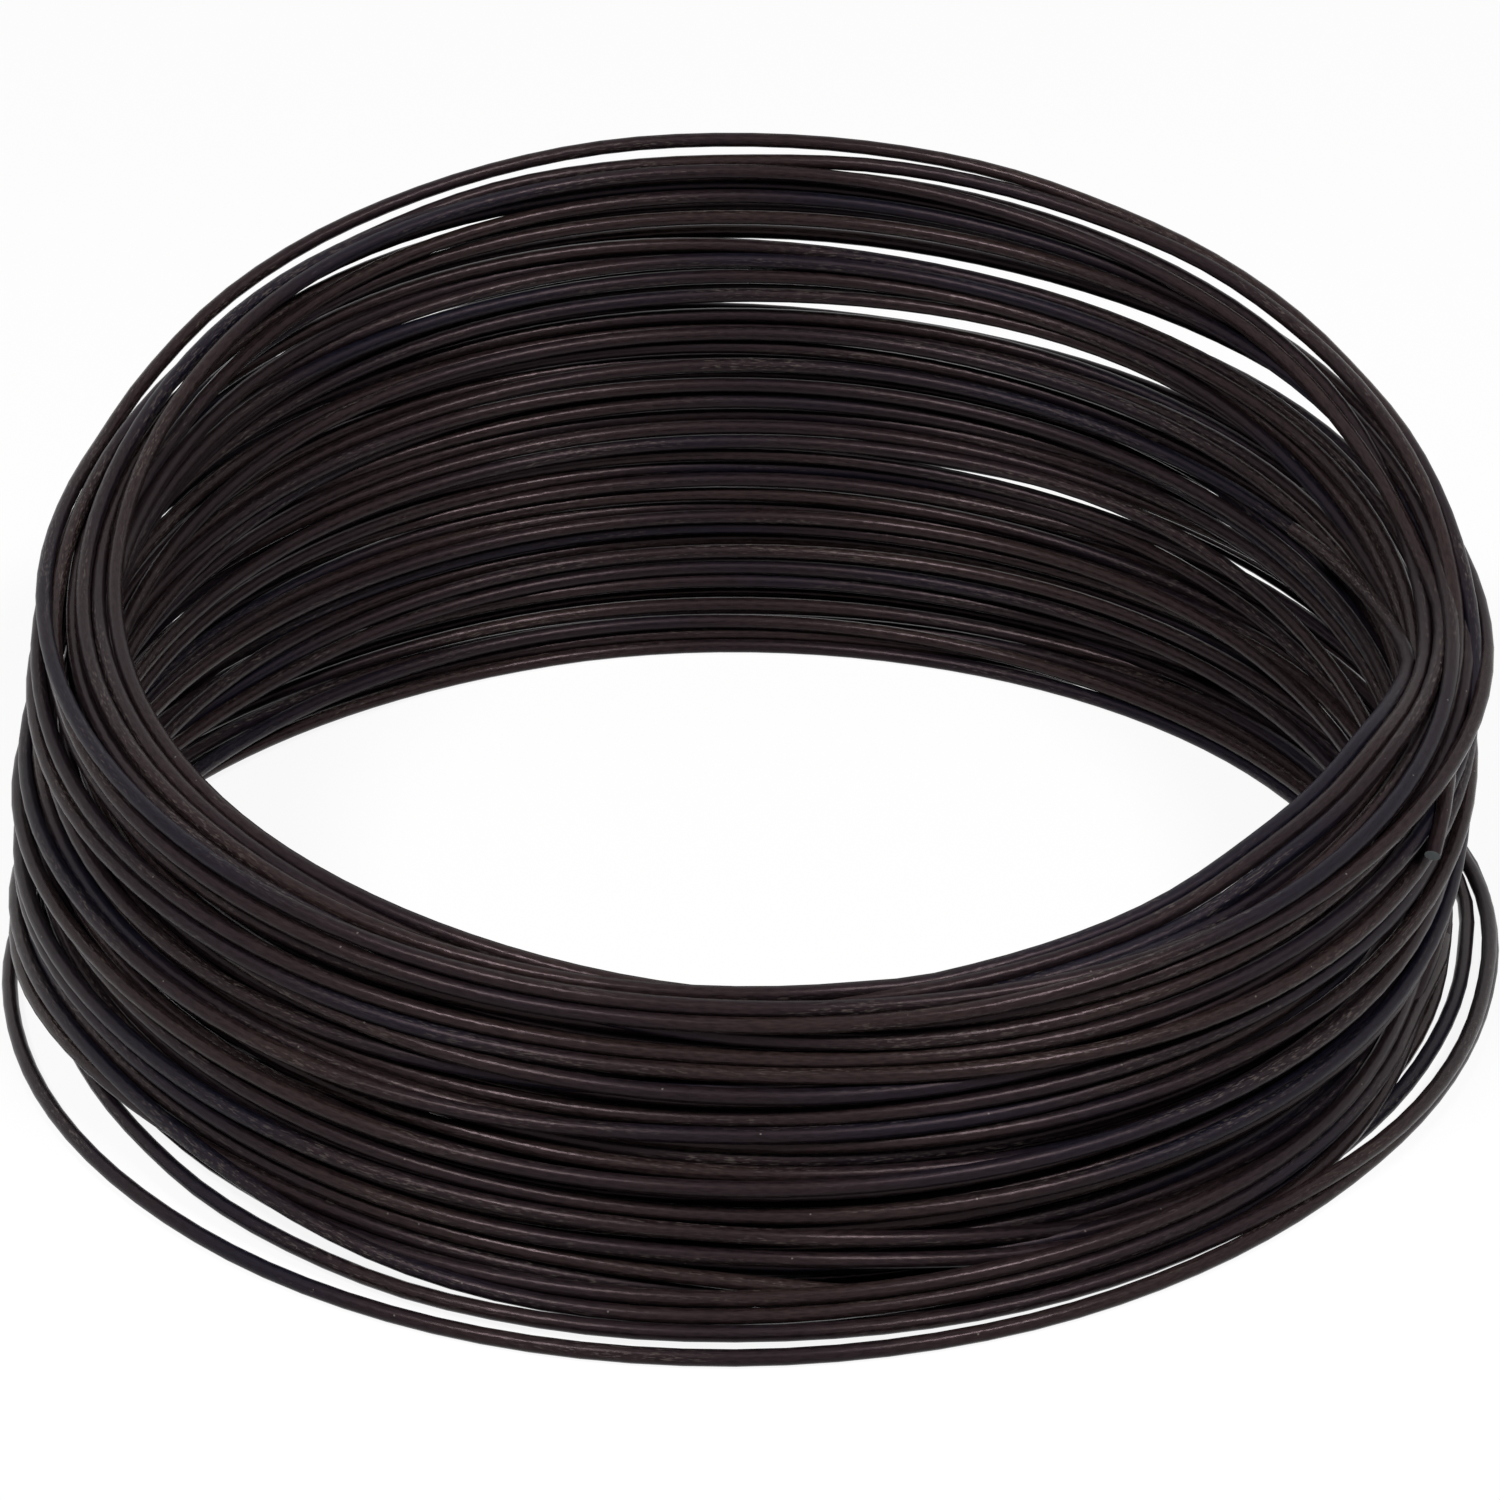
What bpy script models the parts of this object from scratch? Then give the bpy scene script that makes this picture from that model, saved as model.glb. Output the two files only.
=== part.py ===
"""Coil of annealed binding wire, lying flat as it was dropped on a floor.

The coil is one length of soft black wire. Its turns are bunched low at the front and
fanned out upwards at the back, so the ring is a wedge that leans in towards its rim. The
bulk of the turns is one turned ring with its bore, grooved between the turns. The turns
that have sprung loose, and the cut tail inside the bore, are tubes fused to that ring.
"""

import math

import bmesh
import bpy
from mathutils import Vector

# Wire
WIRE_DIAMETER = 0.0012
GROOVE_DEPTH = 0.0004
TURN_PITCH = 0.00145

# Ring of turns, at its foot on the floor and at its rim
FOOT_OUTER_RADIUS = 0.0565
FOOT_WALL = 0.0062
RIM_LEAN_IN = 0.0022
RIM_WALL = 0.0065
FOOT_SLIP_BACK = -0.0025
FOOT_SLIP_SIDE = -0.0016
RIM_SLIP_BACK = 0.0015
RIM_SLIP_SIDE = 0.0010

# Flat that the foot has at its front left
FOOT_FLAT_DEPTH = 0.0030
FOOT_FLAT_MIDDLE = math.radians(-148)
FOOT_FLAT_REACH = math.radians(42)

# Height of the rim over the floor, round the ring
RIGHT_HEIGHT = 0.0295
BACK_RIGHT_HEIGHT = 0.0384
BACK_HEIGHT = 0.0432
BACK_LEFT_HEIGHT = 0.0406
LEFT_HEIGHT = 0.0312
FRONT_LEFT_HEIGHT = 0.0254
FRONT_HEIGHT = 0.0225
FRONT_RIGHT_HEIGHT = 0.0238

# Share of the side's wall thickness that the rim keeps where it has fewer layers of turns
RIM_FRONT_SHARE = 0.80
RIM_BACK_SHARE = 0.55

# Loose turn on the floor, slipped out from under the ring, with a flat at its front right
FLOOR_TURN_SLIP_FRONT = 0.0028
FLOOR_TURN_SLIP_SIDE = 0.0021
FLOOR_TURN_FLAT_DEPTH = 0.0030
FLOOR_TURN_FLAT_MIDDLE = math.radians(-42)
FLOOR_TURN_FLAT_REACH = math.radians(48)
FLOOR_TURN_RISE = 0.0006
FLOOR_TURN_TUCK = 0.0016
FLOOR_TURN_END = math.radians(26)

# Turns sprung up from the back of the rim
SPRUNG_START = math.radians(14)
SPRUNG_CROSSING = math.radians(98)
SPRUNG_END = math.radians(152)
SPRUNG_GAP = 0.0017
SPRUNG_LEFT_GAP = 0.0012
SPRUNG_SINK = 0.0005

# Cut tail inside the bore
TAIL_START = math.radians(-24)
TAIL_END = math.radians(25)
TAIL_HEIGHT_SHARE = 0.78
TAIL_CLEARANCE = 0.0010

# Facets, with the flat crest of each turn given by its two edges as shares of the pitch
RING_STEPS = 36
CREST_EDGES = (0.28, 0.72)
CORNER_SHARE = 0.6
TUBE_STEP = math.radians(6)
SHOULDER = math.radians(22)
SMOOTH_ANGLE = math.radians(25)
WELD_DISTANCE = 0.00001

WIRE_RADIUS = WIRE_DIAMETER / 2
QUARTER_TURN = math.pi / 2
FOOT_INNER_RADIUS = FOOT_OUTER_RADIUS - FOOT_WALL
RIM_OUTER_RADIUS = FOOT_OUTER_RADIUS - RIM_LEAN_IN
RIM_INNER_RADIUS = RIM_OUTER_RADIUS - RIM_WALL
RIM_HEIGHTS = (
    RIGHT_HEIGHT,
    BACK_RIGHT_HEIGHT,
    BACK_HEIGHT,
    BACK_LEFT_HEIGHT,
    LEFT_HEIGHT,
    FRONT_LEFT_HEIGHT,
    FRONT_HEIGHT,
    FRONT_RIGHT_HEIGHT,
)
RIM_SHARES = (1.0, RIM_BACK_SHARE, 1.0, RIM_FRONT_SHARE)


def mix(start, end, share):
    """Gives the value that lies the given share of the way from start to end."""
    return start + (end - start) * share


def clear_scene():
    """Removes every object that the scene holds."""
    for old_object in list(bpy.data.objects):
        bpy.data.objects.remove(old_object, do_unlink=True)


def new_collection(name):
    """Makes a collection and hangs it in the scene."""
    collection = bpy.data.collections.new(name)
    bpy.context.scene.collection.children.link(collection)
    return collection


def oxide_steel():
    """Makes the dark satin finish of annealed wire."""
    material = bpy.data.materials.new("annealed_wire")
    material.use_nodes = True
    shader = material.node_tree.nodes["Principled BSDF"]
    shader.inputs["Base Color"].default_value = (0.035, 0.024, 0.019, 1.0)
    shader.inputs["Metallic"].default_value = 0.6
    shader.inputs["Roughness"].default_value = 0.45
    return material


def round_the_ring(stations, azimuth):
    """Runs a smooth closed curve through sizes spaced evenly round the ring from +X."""
    position = azimuth / (2 * math.pi) % 1.0 * len(stations)
    first = int(position)
    share = position - first
    before, start, end, after = (stations[(first + step) % len(stations)] for step in (-1, 0, 1, 2))
    slope_in = (end - before) / 2
    slope_out = (after - start) / 2
    rest = end - start
    return (
        start
        + slope_in * share
        + (3 * rest - 2 * slope_in - slope_out) * share**2
        + (slope_in + slope_out - 2 * rest) * share**3
    )


def dent(azimuth, middle, reach):
    """Rises from 0 to 1 at the middle azimuth, and is back to 0 at its reach on both sides."""
    off_middle = abs(math.remainder(azimuth - middle, 2 * math.pi)) / reach
    return (1 + math.cos(math.pi * min(1.0, off_middle))) / 2


def rim_height(azimuth):
    """Gives the height of the rim at an azimuth."""
    return round_the_ring(RIM_HEIGHTS, azimuth)


def wall_middle(height_share):
    """Gives the radius of the middle of the wall at a share of its height."""
    foot = (FOOT_OUTER_RADIUS + FOOT_INNER_RADIUS) / 2
    rim = (RIM_OUTER_RADIUS + RIM_INNER_RADIUS) / 2
    return mix(foot, rim, height_share)


def wall_radius(nominal_radius, height_share, azimuth):
    """Gives the radius that a point of the evenly turned wall really has at an azimuth."""
    middle = wall_middle(height_share)
    wall_share = mix(1.0, round_the_ring(RIM_SHARES, azimuth), height_share)
    flat = FOOT_FLAT_DEPTH * (1 - height_share) * dent(azimuth, FOOT_FLAT_MIDDLE, FOOT_FLAT_REACH)
    return middle + (nominal_radius - middle) * wall_share - flat


def place(radius, height_share, azimuth, height):
    """Puts a radius and a height on the slipped stack of turns."""
    side = mix(FOOT_SLIP_SIDE, RIM_SLIP_SIDE, height_share)
    back = mix(FOOT_SLIP_BACK, RIM_SLIP_BACK, height_share)
    return Vector((side + radius * math.cos(azimuth), back + radius * math.sin(azimuth), height))


def grooved_run(start, end):
    """Gives the points of a row of turns seen end on, from start up to end.

    The wall lies to the right of the run. Each turn is a groove and then its flat crest.
    """
    along = end - start
    turns = max(2, round(along.length / TURN_PITCH))
    groove = Vector((along.y, -along.x)).normalized() * GROOVE_DEPTH
    points = []
    for turn in range(turns):
        points.append(start + along * (turn / turns) + groove)
        points.extend(start + along * ((turn + edge) / turns) for edge in CREST_EDGES)
    return points


def ring_profile():
    """Gives the ring's section as radius and height, down its outer side first."""
    crown = Vector((0.0, WIRE_RADIUS * CORNER_SHARE))
    inset = Vector((WIRE_RADIUS * CORNER_SHARE, 0.0))
    rim_outer = Vector((RIM_OUTER_RADIUS, RIGHT_HEIGHT))
    foot_outer = Vector((FOOT_OUTER_RADIUS, 0.0))
    foot_inner = Vector((FOOT_INNER_RADIUS, 0.0))
    rim_inner = Vector((RIM_INNER_RADIUS, RIGHT_HEIGHT))
    return (
        grooved_run(rim_outer - crown, foot_outer + crown)
        + grooved_run(foot_outer - inset, foot_inner + inset)
        + grooved_run(foot_inner + crown, rim_inner - crown)
        + grooved_run(rim_inner + inset, rim_outer - inset)
    )


def turned_ring(collection):
    """Turns the ring of wound wire and lays it down as the wedge that it has become."""
    profile_mesh = bpy.data.meshes.new("ring_profile")
    profile = bmesh.new()
    corners = [profile.verts.new((point.x, 0.0, point.y)) for point in ring_profile()]
    for corner, following in zip(corners, corners[1:] + corners[:1]):
        profile.edges.new((corner, following))
    profile.to_mesh(profile_mesh)
    profile.free()

    profile_object = bpy.data.objects.new("ring_profile", profile_mesh)
    collection.objects.link(profile_object)
    screw = profile_object.modifiers.new("turn", "SCREW")
    screw.angle = 2 * math.pi
    screw.steps = RING_STEPS
    screw.render_steps = RING_STEPS
    screw.use_merge_vertices = True
    screw.merge_threshold = WELD_DISTANCE
    ring = mesh_object(profile_object, "wire_coil", collection)

    for vertex in ring.data.vertices:
        azimuth = math.atan2(vertex.co.y, vertex.co.x)
        height_share = vertex.co.z / RIGHT_HEIGHT
        radius = wall_radius(math.hypot(vertex.co.x, vertex.co.y), height_share, azimuth)
        vertex.co = place(radius, height_share, azimuth, height_share * rim_height(azimuth))
    return ring


def mesh_object(source, name, collection):
    """Turns an object with its modifiers into a welded mesh object, and removes it."""
    bpy.context.view_layer.update()
    graph = bpy.context.evaluated_depsgraph_get()
    mesh = bpy.data.meshes.new_from_object(source.evaluated_get(graph))
    shape = bmesh.new()
    shape.from_mesh(mesh)
    bmesh.ops.remove_doubles(shape, verts=shape.verts, dist=WELD_DISTANCE)
    shape.to_mesh(mesh)
    shape.free()
    result = bpy.data.objects.new(name, mesh)
    result.matrix_world = source.matrix_world.copy()
    collection.objects.link(result)
    bpy.data.objects.remove(source, do_unlink=True)
    return result


def wire_tube(name, points, collection):
    """Runs a round wire through the points and closes both its cut ends."""
    curve = bpy.data.curves.new(name, "CURVE")
    curve.dimensions = "3D"
    curve.bevel_depth = WIRE_RADIUS
    curve.bevel_resolution = 2
    curve.use_fill_caps = True
    spline = curve.splines.new("POLY")
    spline.points.add(len(points) - 1)
    for control, point in zip(spline.points, points):
        control.co = (*point, 1.0)
    wire = bpy.data.objects.new(name, curve)
    collection.objects.link(wire)
    return mesh_object(wire, name, collection)


def azimuths(start, end):
    """Gives evenly spaced azimuths from start to end, both included."""
    steps = max(2, round((end - start) / TUBE_STEP))
    return [mix(start, end, step / steps) for step in range(steps + 1)]


def smooth_step(share):
    """Eases a share from 0 to 1 with level ends, and holds it outside them."""
    held = min(1.0, max(0.0, share))
    return held * held * (3 - 2 * held)


def swell(azimuth, start, end):
    """Rises from 0 at start to 1, holds, and falls back to 0 at end."""
    return smooth_step((azimuth - start) / SHOULDER) * smooth_step((end - azimuth) / SHOULDER)


def floor_turn_path():
    """Runs the loose floor turn from inside the foot's left, round the front, to its right."""
    points = []
    for azimuth in azimuths(-math.pi - FLOOR_TURN_END, FLOOR_TURN_END):
        past_side = abs(azimuth + QUARTER_TURN) - QUARTER_TURN
        under_ring = smooth_step(past_side / FLOOR_TURN_END)
        flat = FLOOR_TURN_FLAT_DEPTH * dent(azimuth, FLOOR_TURN_FLAT_MIDDLE, FLOOR_TURN_FLAT_REACH)
        radius = FOOT_OUTER_RADIUS - WIRE_RADIUS - flat - FLOOR_TURN_TUCK * under_ring
        point = place(radius, 0.0, azimuth, WIRE_RADIUS + FLOOR_TURN_RISE * under_ring)
        points.append(point + Vector((FLOOR_TURN_SLIP_SIDE, -FLOOR_TURN_SLIP_FRONT, 0.0)))
    return points


def sprung_turn_path(top):
    """Runs a turn that has sprung up off the rim at the back.

    The lower one leaves the rim on the right only. The top one rides on it there, and
    stands off the rim by itself on the left.
    """
    end = SPRUNG_END if top else SPRUNG_CROSSING
    rim_middle = wall_middle(1.0)
    points = []
    for azimuth in azimuths(SPRUNG_START, end):
        lift = SPRUNG_GAP * swell(azimuth, SPRUNG_START, SPRUNG_CROSSING) - SPRUNG_SINK
        if top:
            lift += WIRE_DIAMETER * 0.9 * swell(azimuth, SPRUNG_START, SPRUNG_END)
            lift += SPRUNG_LEFT_GAP * swell(azimuth, SPRUNG_CROSSING, SPRUNG_END)
        points.append(place(rim_middle, 1.0, azimuth, rim_height(azimuth) + lift))
    return points


def tail_path():
    """Runs the cut tail out of the wall on the right, along the inside of the bore."""
    points = []
    for azimuth in azimuths(TAIL_START, TAIL_END):
        share = (azimuth - TAIL_START) / (TAIL_END - TAIL_START)
        nominal = mix(FOOT_INNER_RADIUS, RIM_INNER_RADIUS, TAIL_HEIGHT_SHARE)
        inner = wall_radius(nominal, TAIL_HEIGHT_SHARE, azimuth)
        radius = inner + WIRE_RADIUS - (WIRE_DIAMETER + TAIL_CLEARANCE) * smooth_step(share)
        height = TAIL_HEIGHT_SHARE * rim_height(azimuth)
        points.append(place(radius, TAIL_HEIGHT_SHARE, azimuth, height))
    return points


def fuse(body, pieces):
    """Joins the loose turns to the ring, and keeps them as hidden guides."""
    for piece in pieces:
        union = body.modifiers.new("join_" + piece.name, "BOOLEAN")
        union.operation = "UNION"
        union.solver = "EXACT"
        union.object = piece
        piece.hide_render = True
        piece.display_type = "WIRE"


def stand_at_origin(coil, loose_turns):
    """Puts the origin on the floor, under the middle of the coil's box."""
    bpy.context.view_layer.update()
    graph = bpy.context.evaluated_depsgraph_get()
    corners = [Vector(corner) for corner in coil.evaluated_get(graph).bound_box]
    low = Vector(map(min, zip(*corners)))
    high = Vector(map(max, zip(*corners)))
    middle = (low + high) / 2
    for piece in [coil, *loose_turns]:
        piece.location -= Vector((middle.x, middle.y, low.z))


def main():
    """Builds the coil."""
    clear_scene()
    parts = new_collection("coil_of_binding_wire")
    guides = new_collection("loose_turns")

    coil = turned_ring(parts)
    loose_turns = [
        wire_tube("floor_turn", floor_turn_path(), guides),
        wire_tube("lower_sprung_turn", sprung_turn_path(top=False), guides),
        wire_tube("top_sprung_turn", sprung_turn_path(top=True), guides),
        wire_tube("cut_tail", tail_path(), guides),
    ]
    fuse(coil, loose_turns)
    stand_at_origin(coil, loose_turns)
    coil.data.shade_smooth()
    coil.data.set_sharp_from_angle(angle=SMOOTH_ANGLE)
    coil.data.materials.append(oxide_steel())


main()
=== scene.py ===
"""Coil of black annealed binding wire, one length that has sprung open on a pale floor.

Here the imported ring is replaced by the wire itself, in the ring's own place and about as
large: one continuous cord wound in passes up and down a wall like the ring's. Its turns are
pushed apart and drawn together in many small steps. Most then lie against a neighbour, and
some still press into it. The turns that have sprung loose, the tucked inner tail and both
cut ends are close to where the real coil has them.
"""

from __future__ import annotations

import logging
import math
from dataclasses import dataclass, field
from enum import Enum

import bmesh
import bpy
import numpy as np
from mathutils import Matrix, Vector

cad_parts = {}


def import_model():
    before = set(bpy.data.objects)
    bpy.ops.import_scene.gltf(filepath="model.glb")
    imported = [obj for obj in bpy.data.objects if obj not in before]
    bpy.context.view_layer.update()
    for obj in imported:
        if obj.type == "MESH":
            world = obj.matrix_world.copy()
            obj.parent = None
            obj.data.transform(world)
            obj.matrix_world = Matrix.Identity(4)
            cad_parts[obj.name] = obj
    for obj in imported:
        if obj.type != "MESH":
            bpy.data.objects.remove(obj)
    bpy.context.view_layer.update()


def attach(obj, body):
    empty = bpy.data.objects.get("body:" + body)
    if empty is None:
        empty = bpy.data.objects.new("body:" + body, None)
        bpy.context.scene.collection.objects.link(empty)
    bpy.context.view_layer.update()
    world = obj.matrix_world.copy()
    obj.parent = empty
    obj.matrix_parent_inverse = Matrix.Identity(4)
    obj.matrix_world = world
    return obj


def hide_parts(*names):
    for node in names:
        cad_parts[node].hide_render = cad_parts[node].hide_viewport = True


LOG = logging.getLogger("wire_coil")

NODE = "wire_coil"
BODY = "root"

FULL_TURN = 2 * math.pi
BACK = math.pi / 2
FRONT = -math.pi / 2
MILLIMETRES = 1000

# In metres: past every wire of the coil, the place of a station that isn't there, the distance
# below which two stations are one, and what keeps a distance from being zero.
FAR = 1.0
EMPTY = 9.0
SAME_PLACE = 1e-8
NOT_ZERO = 1e-9

Values = np.ndarray | float
Colour = tuple[float, float, float]
Place = tuple[float, float, float]


def mix(start: Values, end: Values, share: Values) -> Values:
    """Give the value that lies the given share of the way from start to end."""
    return start + (end - start) * share


def smooth_step(share: Values) -> np.ndarray:
    """Ease a share from 0 to 1 with level ends, held outside them."""
    held = np.clip(share, 0.0, 1.0)
    return held * held * (3 - 2 * held)


def turn_from(azimuth: np.ndarray, middle: float) -> np.ndarray:
    """Give the signed angle from a middle azimuth, from minus half a turn to half a turn."""
    return (azimuth - middle + math.pi) % FULL_TURN - math.pi


def bump(off_middle: np.ndarray) -> np.ndarray:
    """Rise from 0 at both ends to 1 in the middle, for a place from -1 to 1 or outside them."""
    return (1 + np.cos(math.pi * np.minimum(np.abs(off_middle), 1.0))) / 2


def dent(azimuth: np.ndarray, middle: float, reach: float) -> np.ndarray:
    """Rise from 0 to 1 at the middle azimuth and fall back to 0 at its reach on both sides."""
    return bump(turn_from(azimuth, middle) / reach)


def sweep(start: Values, end: Values, slope_in: Values, slope_out: Values, share: Values) -> Values:
    """Run a smooth curve from one value to the next.

    Args:
        start: the value at share 0.
        end: the value at share 1.
        slope_in: the curve's slope at the start.
        slope_out: its slope at the end.
        share: where the curve is read.

    Returns:
        The curve's value there.
    """
    rest = end - start
    return (
        start
        + slope_in * share
        + (3 * rest - 2 * slope_in - slope_out) * share**2
        + (slope_in + slope_out - 2 * rest) * share**3
    )


def round_the_ring(sizes: tuple[float, ...], azimuth: np.ndarray) -> np.ndarray:
    """Run a smooth closed curve through sizes spaced evenly round the ring from +X.

    Args:
        sizes: the sizes, in order round the ring.
        azimuth: where the curve is read, in radians.

    Returns:
        The curve's value at each azimuth.
    """
    known = np.array(sizes)
    position = azimuth / FULL_TURN % 1.0 * len(known)
    first = np.floor(position).astype(int)
    before, start, end, after = (known[(first + step) % len(known)] for step in (-1, 0, 1, 2))
    return sweep(start, end, (end - before) / 2, (after - start) / 2, position - first)


def through_points(places: np.ndarray, values: np.ndarray, at: np.ndarray) -> np.ndarray:
    """Run a smooth curve through values at rising places, and straight on outside them.

    Args:
        places: where the values are known, rising.
        values: the known values.
        at: where the curve is read.

    Returns:
        The curve's value at each place that is read.
    """
    slopes = np.gradient(values, places)
    held = np.clip(at, places[0], places[-1])
    first = np.clip(np.searchsorted(places, held, side="right") - 1, 0, len(places) - 2)
    span = places[first + 1] - places[first]
    share = (held - places[first]) / span
    slope_in, slope_out = slopes[first] * span, slopes[first + 1] * span
    curve = sweep(values[first], values[first + 1], slope_in, slope_out, share)
    before = np.minimum(at - places[0], 0) * slopes[0]
    after = np.maximum(at - places[-1], 0) * slopes[-1]
    return curve + before + after


@dataclass(frozen=True)
class WireStock:
    """Soft annealed wire, as it comes off the drawing bench."""

    diameter: float = 0.0012
    sides: int = 12

    @property
    def radius(self) -> float:
        """Half the diameter."""
        return self.diameter / 2


@dataclass(frozen=True)
class Swell:
    """Stretch of the wall's outer face where the turns bulge out, or draw in below zero."""

    middle: float
    reach: float
    share: float
    share_reach: float
    depth: float

    def shift(self, azimuth: np.ndarray, share: np.ndarray) -> np.ndarray:
        """Give how far the outer face is shifted outwards at each azimuth and height share."""
        rise = bump((share - self.share) / self.share_reach)
        return self.depth * dent(azimuth, self.middle, self.reach) * rise


@dataclass
class CoilWall:
    """Wall that the turns make: a ring that leans in towards its rim and is low in front.

    Azimuths are measured about the axis, from +X, with the back at a quarter turn.
    """

    axis: tuple[float, float] = (0.0, 0.003)
    foot_centre: tuple[float, float] = (-0.0012, 0.0012)
    rim_centre: tuple[float, float] = (0.0014, 0.0052)
    foot_outer_radius: float = 0.0565
    foot_wall: float = 0.0062
    rim_outer_radius: float = 0.0543
    rim_wall: float = 0.0065
    rim_heights: tuple[float, ...] = (0.0295, 0.0384, 0.0432, 0.0406, 0.0312, 0.0254, 0.0225, 0.0238)
    rim_wall_shares: tuple[float, ...] = (1.0, 0.55, 1.0, 0.80)
    flat_depth: float = 0.0030
    flat_middle: float = math.radians(-146)
    flat_reach: float = math.radians(44)
    heel_depth: float = 0.0026
    heel_middle: float = math.radians(150)
    heel_reach: float = math.radians(50)
    sag_depth: float = 0.0024
    sag_middle: float = math.radians(-138)
    sag_reach: float = math.radians(60)
    swells: tuple[Swell, ...] = (
        Swell(math.radians(177), math.radians(32), 0.40, 0.34, 0.0008),
        Swell(math.radians(-7), math.radians(24), 0.85, 0.22, 0.0006),
        Swell(math.radians(-10), math.radians(28), 0.46, 0.26, -0.0006),
        Swell(math.radians(-20), math.radians(26), 0.13, 0.18, -0.0024),
        Swell(math.radians(-92), math.radians(34), 0.83, 0.17, -0.0018),
        Swell(math.radians(-92), math.radians(38), 0.61, 0.07, -0.0013),
        Swell(math.radians(-92), math.radians(38), 0.37, 0.07, -0.0012),
    )

    def rim_height(self, azimuth: np.ndarray) -> np.ndarray:
        """Give the height of the rim over the floor."""
        return round_the_ring(self.rim_heights, azimuth)

    def foot_height(self, azimuth: np.ndarray) -> np.ndarray:
        """Give how far the lowest turns of the bundle stand off the floor."""
        return self.sag_depth * dent(azimuth, self.sag_middle, self.sag_reach)

    def faces(self, azimuth: np.ndarray, share: np.ndarray) -> tuple[np.ndarray, np.ndarray]:
        """Give the bore's radius and the outer radius about the axis.

        Args:
            azimuth: where the wall is cut, in radians.
            share: height in the wall, from 0 at the foot to 1 at the rim.

        Returns:
            The inner and the outer radius.
        """
        outer = mix(self.foot_outer_radius, self.rim_outer_radius, share)
        half_wall = mix(self.foot_wall, self.rim_wall, share) / 2
        middle = outer - half_wall
        half_wall = half_wall * mix(1.0, round_the_ring(self.rim_wall_shares, azimuth), share)
        slip_x = mix(self.foot_centre[0], self.rim_centre[0], share) - self.axis[0]
        slip_y = mix(self.foot_centre[1], self.rim_centre[1], share) - self.axis[1]
        middle = middle + slip_x * np.cos(azimuth) + slip_y * np.sin(azimuth)
        low = (1 - share) ** 2
        middle = middle - self.flat_depth * low * dent(azimuth, self.flat_middle, self.flat_reach)
        heel = self.heel_depth * low * dent(azimuth, self.heel_middle, self.heel_reach)
        swelling = sum(swell.shift(azimuth, share) for swell in self.swells)
        return middle - half_wall - heel, middle + half_wall + swelling


@dataclass(frozen=True)
class Traverse:
    """One pass of the winding along the wall.

    Lies are places across the wall, from 0 at the bore to 1 on the outside.
    """

    turns: float
    start_height: float
    end_height: float
    lie_at_back: float
    lie_in_front: float
    lie_wander: float


@dataclass(frozen=True)
class Station:
    """Place on a turn that is known from the coil: degrees round it, and millimetres."""

    degrees: float
    radius_mm: float
    height_mm: float


def stations(*places: Place) -> tuple[Station, ...]:
    """Give the stations of a turn from their degrees, radii and heights."""
    return tuple(Station(*place) for place in places)


@dataclass(frozen=True)
class LooseTurn:
    """Stretch of the wire that has sprung off the bundle, by the turn that it starts in."""

    name: str
    turn: int
    stations: tuple[Station, ...]
    ease_degrees: float = 16.0

    def places(self) -> tuple[np.ndarray, np.ndarray, np.ndarray]:
        """Lay the stations out for the curve that runs through them.

        Returns:
            Their degrees along the whole wire, and their radii and heights in metres.
        """
        degrees = np.array([station.degrees for station in self.stations]) + 360.0 * self.turn
        radii = np.array([station.radius_mm for station in self.stations]) / MILLIMETRES
        heights = np.array([station.height_mm for station in self.stations]) / MILLIMETRES
        return degrees, radii, heights


@dataclass(frozen=True)
class Parting:
    """Sloping gap between two groups of turns at the back, open to see through.

    The places are degrees round the coil, and the heights are those on the bore's face.
    """

    degrees: tuple[float, ...]
    heights_mm: tuple[float, ...]
    widths_mm: tuple[float, ...]


@dataclass(frozen=True)
class PartedTurns:
    """Turns that pass one gap, and how far each has to keep from its middle as it is seen."""

    where: np.ndarray
    side: np.ndarray
    middle: np.ndarray
    reach: np.ndarray
    turn_middle: np.ndarray
    turn_reach: np.ndarray


@dataclass(frozen=True)
class Waves:
    """Waves that are summed into a smooth noise along the wire, by how many pass in a turn."""

    slowest: float
    fastest: float
    count: int = 24


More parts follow.
